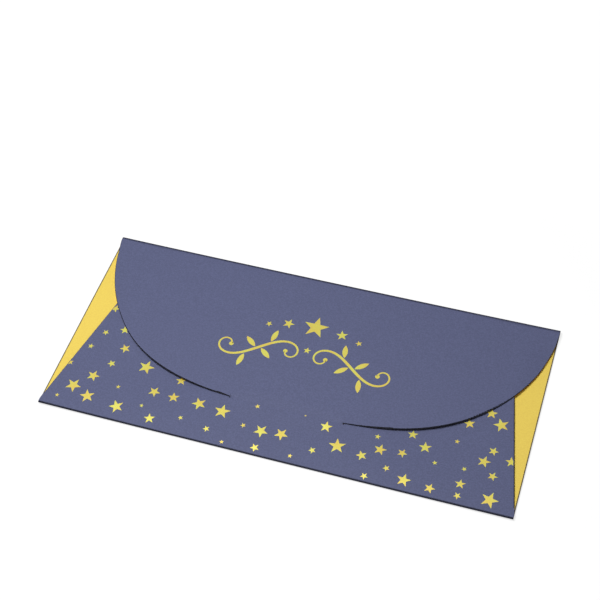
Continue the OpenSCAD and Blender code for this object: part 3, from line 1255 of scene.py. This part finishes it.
@dataclass
class FrontPanel(Assembly):
    """The star-strewn panel, with slanted sides and the slit."""

    straight: float = 40.0
    lip_below: float = 2.0
    lip_above: float = 4.0
    fan: float = 50.0
    step: float = 1.6

    def build(self) -> None:
        """Builds both plies.

        Columns near the middle run straight up, so that the slit's ends are square. Those
        further out fan in with the slanted sides. The cells of the slit, and of the strips
        that the side folds take up, are left out.
        """
        o = self.outline
        slit_top = o.slit + o.slit_open
        rows = spaced(o.bottom_fold, o.lean_start, o.tab_from, o.slit - self.lip_below, o.slit,
                      slit_top, o.slit + self.lip_above, o.tab_to, o.pocket, step=self.step)
        middle = spaced(-self.straight, o.slit_middle - o.slit_half, o.slit_middle + o.slit_half,
                        self.straight, step=self.step)
        share = spaced(0, 1, step=self.step / self.fan)[1:, None]
        half = o.pocket_half(rows)[None]
        fan = self.straight + (half - o.side_strip - self.straight) * share
        x = np.concatenate([-half, -fan[::-1], np.repeat(middle[:, None], len(rows), 1), fan, half])
        y = np.repeat(rows[None], len(x), 0)
        cell_x, cell_y = ((v[1:, 1:] + v[:-1, :-1]) / 2 for v in (x, y))
        keep = np.abs(cell_x - o.slit_middle) >= o.slit_half
        keep |= (cell_y <= o.slit) | (cell_y >= slit_top)
        keep[[0, -1]] &= (cell_y[[0, -1]] <= o.tab_from) | (cell_y[[0, -1]] >= o.tab_to)
        sheet = Sheet(lying(x, y, self.relief.front_top(x, y)), self._on_fold, keep)
        self.lay_both("pocket", front=sheet)

    def _on_fold(self, middles: Array) -> Array:
        """Tells which boundary edges meet the bottom fold or a side fold.

        Args:
            middles: the edges' middles.

        Returns:
            One truth value for each edge.
        """
        o, y = self.outline, middles[:, 1]
        inset = o.pocket_half(y) - np.abs(middles[:, 0])
        on_side = (np.abs(inset - o.side_strip) < LOOSE) & (y > o.tab_from) & (y < o.tab_to)
        return (y < o.bottom_fold + HAIR) | on_side


@dataclass
class Creases(Assembly):
    """The bottom fold, the top fold and the two side folds."""

    # side_dark_from: where the painted shade along the side folds begins, as a share of their
    # reach.
    side_dark_from: float = 0.25
    probe: float = 0.2
    step: float = 2.0

    def build(self) -> None:
        """Builds every fold of both plies, and leaves the top one on neither body."""
        o, bottom, top = self.outline, self._bottom(), self._top()
        sides = {side.word: self._side(side).sheet() for side in Side}
        fold_y, lowest = (o.top_fold - o.height / 2) * MM, float(top.high.min())
        for ply in Ply:
            end = ply.value
            self.lay(bottom.sheet(), ply, "pocket", f"bottom_fold_{end}", f"bottom_crease_{end}")
            obj = self.lay(top.sheet(), ply, None, f"top_fold_{end}", f"top_crease_{end}")
            middle = sum(self.relief.stock.depths(ply)) / 2
            middle * MM
            (lowest - middle) * MM
            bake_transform(obj)
            for word, sheet in sides.items():
                end = f"{ply.value}_{word}"
                self.lay(sheet, ply, "pocket", f"side_fold_{end}", f"side_crease_{end}")

    def _bottom(self) -> Fold:
        """Works out the fold between the back panel and the front panel.

        Returns:
            The fold.
        """
        o, r = self.outline, self.relief
        x = o.along_folds(self.step)
        y = np.full_like(x, o.bottom_fold)
        at, away = np.stack([x, y], -1), np.array([0, -1.0])
        return Fold(at, away, o.bottom_fold, r.lift(x, y), r.front_top(x, y))

    def _top(self) -> Fold:
        """Works out the fold between the back panel and the flap.

        Returns:
            The fold.
        """
        o, r = self.outline, self.relief
        x = o.along_folds(self.step)
        y = np.full_like(x, o.top_fold)
        high = r.flap_top(x, y)
        slope = (r.flap_top(x, y - self.probe) - high) / self.probe
        at, away = np.stack([x, y], -1), np.array([0, 1.0])
        return Fold(at, away, o.height - o.top_fold, np.zeros_like(x), high, slope)

    def _side(self, side: Side) -> Fold:
        """Works out the fold along a slanted side, between the front panel and its glue tab.

        Args:
            side: the side of the holder.

        Returns:
            The fold.
        """
        o, r = self.outline, self.relief
        y = spaced(o.tab_from, o.tab_to, step=self.step)
        x = side.value * (o.pocket_half(y) - o.side_strip)
        away = np.array([side.value * math.cos(o.lean_angle), math.sin(o.lean_angle)])
        return Fold(np.stack([x, y], -1), away, o.side_fold, r.tab + r.lift(x, y),
                    r.front_top(x, y), dark_from=self.side_dark_from)


@dataclass
class GlueTabs(Assembly):
    """The two tabs folded back under the front panel, and the glue that holds them down."""

    width: float = 10.0
    bevel: float = 0.6
    columns: int = 9
    step: float = 1.5
    glue_inset: float = 1.5
    glue_width: float = 5.3
    glue_thick: float = 0.05
    glue_broken: float = 0.02
    glue_end: float = 13.0
    glue_round: float = 0.015
    wander: tuple[Triple, ...] = ((0.22, 0.9, 1.0), (0.15, 2.3, 1.7))
    swell: tuple[Triple, ...] = ((0.25, 1.4, 2.0),)
    glue_step: float = 0.8

    def build(self) -> None:
        """Builds both tabs and both strips of glue."""
        for side in Side:
            tab = self._tab(side)
            for ply in Ply:
                end = f"{ply.value}_{side.word}"
                self.lay(tab, ply, "pocket", f"glue_tab_{end}", f"tab_{end}")
            self._glue(side)

    def _on_slant(self, side: Side, across: Array, along: Array) -> tuple[Array, Array]:
        """Turns places on a slanted side into the plan.

        Args:
            side: the side of the holder.
            across: distance inwards from the slanted line.
            along: distance up along the slanted line, from where it begins.

        Returns:
            X and Y.
        """
        o = self.outline
        cos, sin = math.cos(o.lean_angle), math.sin(o.lean_angle)
        x = -o.half + across * cos + along * sin
        return -side.value * x, o.lean_start - across * sin + along * cos

    def _on_fold(self, middles: Array) -> Array:
        """Returns which boundary edges meet the side fold."""
        o, x, y = self.outline, middles[:, 0], middles[:, 1]
        return (o.pocket_half(y) - np.abs(x)) * math.cos(o.lean_angle) < o.side_fold + LOOSE

    def _tab(self, side: Side) -> Sheet:
        """Works out a tab: a strip whose free side is shorter than its fold.

        Args:
            side: the side of the holder.

        Returns:
            The sheet.
        """
        o, r = self.outline, self.relief
        share = np.linspace(0, 1, self.columns)[:, None]
        start = o.tab_setback + self.bevel * self.width * share
        v = spaced(0, 1, step=self.step / o.slant)[None]
        along = start + (o.slant - 2 * start) * v
        x, y = self._on_slant(side, o.side_fold + self.width * share + 0 * v, along)
        return Sheet(lying(x, y, r.tab + r.back_top(x, y)), self._on_fold, cover_first=False)

    def _waves(self, shapes: tuple[Triple, ...], v: Array, side: Side) -> Array:
        """Returns summed sine waves, each a height, a turn for each millimetre and a start."""
        return sum(tall * np.sin(v * turn + start * side.value) for tall, turn, start in shapes)

    def _glue(self, side: Side) -> None:
        """Builds a strip of glue whose long edges wander, as a pressed bead's do.

        Sine waves along the strip move its near edge and change its width, and its ends
        are rounded by the cube of the way out from its middle line.

        Args:
            side: the side of the holder.
        """
        o = self.outline
        v = spaced(self.glue_end, o.slant - self.glue_end, step=self.glue_step)[None]
        near = o.side_fold + self.glue_inset + self._waves(self.wander, v, side)
        wide = self.glue_width + self._waves(self.swell, v, side)
        share = np.linspace(0, 1, self.columns)[:, None]
        rounded = 1 - np.abs(2 * share - 1) ** 3
        middle = o.slant / 2
        along = middle + (v - middle) * (1 - self.glue_round + self.glue_round * rounded)
        x, y = self._on_slant(side, near + wide * share, along)
        glue = Sheet(lying(x, y, self.relief.back_top(x, y)))
        obj = glue.shell(f"glue_strip_{side.word}", (-self.glue_thick, 0.0),
                         Breaks(outer=self.glue_broken))
        self.finishes.dress(obj, Slot.GLUE, "pocket", f"adhesive_{side.word}")


@dataclass
class Flap(Assembly):
    """The closing flap, with the tongue that goes through the slit."""

    # A dark rim painted along the flap's cut edge, as painted shadow of the gap under it: its
    # widths, where it is wide, and how it tapers next to the tongue.
    rim: float = 0.62
    thin_shadow_rim: float = 0.14
    wide_shadow_rim: Patch = Patch(1.0, Step(-98, -66), Step(80, 64))
    taper_from: float = 24.0
    taper_left: float = 7.0
    taper_right: float = 22.0
    # pressed: reach below the top fold over which painted shade darkens the flap; the rows after it
    # are laid at shares of a column to carry that shade.
    pressed: float = 0.45
    fold_shade_rows: Pair = (0.0035, 0.007)
    join: float = 0.02
    turns: int = 181
    turn_gap: float = 0.012
    step: float = 1.4
    column: float = 70.0
    edge_rows: int = 5
    tongue_step: float = 0.03
    tongue_turns: int = 13
    tongue_blend: float = 0.8

    def build(self) -> None:
        """Builds the flap and its tongue, both plies of each."""
        self.lay_both("flap", flap=self._flap(), tongue=self._tongue())

    def _flap(self) -> Sheet:
        """Works out the flap.

        Columns run from the top fold down to the curved edge. A line of rows is laid at
        the tongue's root, and the cells below it that belong to the tongue are left out.

        Returns:
            The sheet.
        """
        o, r = self.outline, self.relief
        root = o.flap_turn(np.array([o.tongue_half, -o.tongue_half]))
        turn = np.linspace(0, math.pi, self.turns)
        turn = turn[np.abs(turn[:, None] - root).min(1) > self.turn_gap / 2]
        turn = np.unique(np.concatenate([turn, root, root - self.turn_gap, root + self.turn_gap]))
        x, low_y = o.flap_edge(turn)
        x[0], x[-1] = o.half, -o.half
        high_y = o.top_fold - self.join
        rise = o.tongue_join - o.flap_edge(root)[1][0]
        above_edge = low_y + np.minimum(rise, 0.5 * (high_y - low_y))
        root_y = np.where(np.abs(x) <= o.tongue_half + SAME, o.tongue_join, above_edge)
        share = spaced(0, *self.fold_shade_rows, 1, step=self.step / self.column)
        upper = high_y + (root_y - high_y)[:, None] * share
        last = np.linspace(0, 1, self.edge_rows)[1:]
        lower = root_y[:, None] + (low_y - root_y)[:, None] * last
        y = np.concatenate([upper, lower], 1)
        x = np.repeat(x[:, None], y.shape[1], 1)
        keep = np.ones((x.shape[0] - 1, y.shape[1] - 1), bool)
        keep[np.abs((x[1:, 0] + x[:-1, 0]) / 2) < o.tongue_half, len(share) - 1 :] = False
        beside = (np.abs(x) >= o.tongue_half - SAME) & (y < o.tongue_join)
        top = np.where(beside, r.flap_level(x, y), r.flap_top(x, y))
        # Painted shade darkens the flap towards the top fold.
        fold_shade = ramp(1 - (high_y - y) / self.pressed)
        face = lying(o.skewed(x, y), y, top)
        return Sheet(face, self._on_join, keep, rim=self._rim, fold_shade=fold_shade)

    def _rim(self, x: Array, y: Array) -> Array:
        """Works out the width of the dark rim painted along the flap's cut edge as painted shadow.

        It is wide along the low arc, and thin up the two sides and next to the tongue.

        Args:
            x: places across the holder.
            y: heights above the bottom fold.

        Returns:
            The width at each place.
        """
        from_tongue = np.abs(x - self.outline.slit_middle) - self.taper_from
        taper = ease(from_tongue / np.where(x > 0, self.taper_right, self.taper_left))
        return self.thin_shadow_rim + (self.rim - self.thin_shadow_rim) * (self.wide_shadow_rim(x, y) * taper)

    def _on_join(self, middles: Array) -> Array:
        """Tells which boundary edges meet the top fold, or the tongue's root and its sides.

        Args:
            middles: the edges' middles.

        Returns:
            One truth value for each edge.
        """
        o, y = self.outline, middles[:, 1]
        x = np.abs(middles[:, 0] - o.skewed(0, y))
        on_root = (x < o.tongue_half + HAIR) & (y < o.tongue_join + HAIR)
        return (y > o.top_fold - self.join - HAIR) | on_root

    def _tongue(self) -> Sheet:
        """Works out the tongue: straight sides, and free corners rounded in plan.

        Returns:
            The sheet.
        """
        o, r = self.outline, self.relief
        flat = o.tongue_half - o.tongue_corner
        bend = np.linspace(0, math.pi / 2, self.tongue_turns)
        side_x = (flat + o.tongue_corner * np.sin(bend))[1:]
        side_y = (o.tongue_end + o.tongue_corner * (1 - np.cos(bend)))[1:]
        middle = spaced(-flat, flat, step=self.step)
        x = np.concatenate([-side_x[::-1], middle, side_x])
        low_y = np.concatenate([side_y[::-1], np.full_like(middle, o.tongue_end), side_y])
        share = spaced(0, 1, step=self.tongue_step)
        y = o.tongue_join + (low_y - o.tongue_join)[:, None] * share
        x = np.repeat(x[:, None], len(share), 1)
        inside = o.tongue_half - self.tongue_step
        stretch = r.stretch(r.flap_top, np.clip(x, -inside, inside), y)
        stretch = 1 + (stretch - 1) * ease((o.tongue_join - y) / self.tongue_blend)
        return Sheet(lying(o.skewed(x, y), y, r.flap_top(x, y), stretch), self._on_root)

    def _on_root(self, middles: Array) -> Array:
        """Returns which boundary edges meet the flap at the tongue's root."""
        return middles[:, 1] > self.outline.tongue_join - HAIR


@dataclass
class Foil(Assembly):
    """The pressed foil: stars on the front panel and the ornament on the flap."""

    longest: float = 0.9
    rounds: int = 4

    def build(self) -> None:
        """Builds both foil pieces from their CAD shapes, laid onto the sheets' relief."""
        r = self.relief
        self._lay("foil_stars", "star_foil", "pocket", r.front, r.front_top)
        self._lay("foil_ornament", "ornament_foil", "flap", r.flap, r.flap_top)

    def _lay(self, node: str, name: str, body: str, level: float, top: Field) -> None:
        """Lays one foil piece onto its sheet.

        A copy of the CAD mesh is merged and its long edges are split, and each point is
        then lifted or lowered by the sheet's height less the level that CAD drew it at.

        Args:
            node: the CAD node.
            name: the new piece's name.
            body: the body that it moves with.
            level: the sheet's level in CAD.
            top: the sheet's height.
        """
        mesh = bpy.data.meshes.new(name)
        work = bmesh.new()
        work.from_mesh(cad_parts[node].data)
        bmesh.ops.remove_doubles(work, verts=work.verts, dist=HAIR * MM)
        for _ in range(self.rounds):
            long_edges = [e for e in work.edges if e.calc_length() > self.longest * MM]
            bmesh.ops.subdivide_edges(work, edges=long_edges, cuts=1)
            bmesh.ops.triangulate(work, faces=[f for f in work.faces if len(f.verts) > 3])
        work.to_mesh(mesh)
        work.free()
        mesh.attributes.remove(mesh.attributes["custom_normal"])
        points = np.empty(len(mesh.vertices) * 3, np.float32)
        mesh.vertices.foreach_get("co", points)
        points = points.reshape(-1, 3).astype(float) / MM
        points[:, 2] += top(points[:, 0], points[:, 1] + self.outline.height / 2) - level
        mesh.vertices.foreach_set("co", (points * MM).astype(np.float32).ravel())
        self.finishes.dress(shaded(mesh), Slot.FOIL, body, node)


# Studio

@dataclass(frozen=True)
class CameraRig:
    """The camera: its place in millimetres from the middle of the holder, and its aim."""

    place: Triple = (130.37, -338.11, 492.82)
    right: Triple = (0.95188, 0.30308, -0.04551)
    down: Triple = (0.20831, -0.74873, -0.62930)
    focal_pixels: float = 1387.2
    sensor: float = 36.0
    nearest: float = 0.01
    farthest: float = 20.0

    def build(self) -> None:
        """Builds the camera and makes it the scene's own."""
        data = bpy.data.cameras.new("camera")
        data.sensor_width = self.sensor
        data.lens = self.focal_pixels / IMAGE_SIDE * self.sensor
        data.clip_start, data.clip_end = self.nearest, self.farthest
        right, up = Vector(self.right).normalized(), -Vector(self.down)
        up = (up - right * up.dot(right)).normalized()
        turn = Matrix((right, up, right.cross(up))).transposed().to_4x4()
        camera = placed("camera", data)
        camera.matrix_world = Matrix.Translation(Vector(self.place) * MM) @ turn
        bpy.context.scene.camera = camera


@dataclass(frozen=True)
class SoftBox:
    """A square lamp: its place in metres, its side and its power."""

    name: str
    place: Triple
    side: float
    power: float

    def build(self) -> None:
        """Builds the lamp, aimed at the middle of the holder."""
        data = bpy.data.lights.new(self.name, "AREA")
        data.shape, data.size, data.energy = "SQUARE", self.side, self.power
        place = Vector(self.place)
        aim = (-place).to_track_quat("-Z", "Y").to_matrix().to_4x4()
        placed(self.name, data).matrix_world = Matrix.Translation(place) @ aim


@dataclass(frozen=True)
class Studio:
    """A pale floor, an even sky and a soft lamp."""

    lamp: SoftBox = SoftBox("key", (-0.09, -0.03, 0.47), 0.20, 1.95)
    white: Colour = (1, 1, 1, 1)
    ambient: float = 0.13
    floor_side: float = 8.0
    floor_gap: float = 0.0003
    floor_paint: float = 0.30
    floor_lift: float = 0.78
    lift_near: float = 0.14
    lift_far: float = 0.5

    def build(self) -> None:
        """Builds the floor, the sky, the lamp and the camera, and sets the view transform."""
        self._floor()
        self._sky()
        self.lamp.build()
        CameraRig().build()
        bpy.context.scene.view_settings.view_transform = "Standard"

    def _seen(self, s: Shader) -> Wire:
        """Tells the rays that show the background: camera, glossy and transmission rays.

        Args:
            s: the tree that asks.

        Returns:
            1 for those rays and 0 for others.
        """
        camera, glossy, through = (
            s.add("ShaderNodeLightPath", output=f"Is {kind} Ray")
            for kind in ("Camera", "Glossy", "Transmission")
        )
        return s.bounded(camera + glossy + through, 0.0, 1.0)

    def _floor(self) -> None:
        """Builds the floor: white where it is seen, with the holder's shadow left on it."""
        half = self.floor_side / 2
        mesh = bpy.data.meshes.new("floor")
        corners = [(-half, -half), (half, -half), (half, half), (-half, half)]
        mesh.from_pydata([(x, y, -self.floor_gap) for x, y in corners], [], [(0, 1, 2, 3)])
        s = Shader(bpy.data.materials.new("white_floor"))
        paint = s.add("ShaderNodeBsdfDiffuse", {}, {"Color": (*[self.floor_paint] * 3, 1)})
        place = s.add("ShaderNodeTexCoord", output="Object")
        away = s.add("ShaderNodeVectorMath", {"operation": "LENGTH"}, {0: place}, "Value")
        lift = s.bounded(away, self.lift_near, self.lift_far, self.floor_lift, 1.0)
        strength = self._seen(s) * lift
        glow = s.add("ShaderNodeEmission", {}, {"Color": self.white, "Strength": strength})
        both = s.add("ShaderNodeAddShader", {}, {0: paint, 1: glow})
        s.add("ShaderNodeOutputMaterial", {}, {"Surface": both})
        mesh.materials.append(s.owner)
        placed("floor", mesh)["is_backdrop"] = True

    def _sky(self) -> None:
        """Builds the sky: white where it is seen or mirrored, and dimmer as a lamp."""
        world = bpy.data.worlds.new("studio_sky")
        bpy.context.scene.world = world
        s = Shader(world)
        strength = s.bounded(self._seen(s), 0.0, 1.0, self.ambient, 1.0)
        sky = s.add("ShaderNodeBackground", {}, {"Color": self.white, "Strength": strength})
        s.add("ShaderNodeOutputWorld", {}, {"Surface": sky})


def write_sizes() -> None:
    """Works out the CAD box and the visual model's box, in metres."""
    boxes = {"cad": CAD_BOX, "visual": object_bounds()}
    boxes = {name: [list(map(float, p)) for p in box] for name, box in boxes.items()}


def main() -> None:
    """Builds the pieces and the studio."""
    logging.basicConfig(level=logging.INFO, format="%(message)s")
    relief = Relief()
    finishes = Finishes()
    for part in (BackPanel, FrontPanel, Creases, GlueTabs, Flap, Foil):
        part(relief, finishes).build()
    Studio().build()
    write_sizes()


if __name__ == "__main__":
    main()
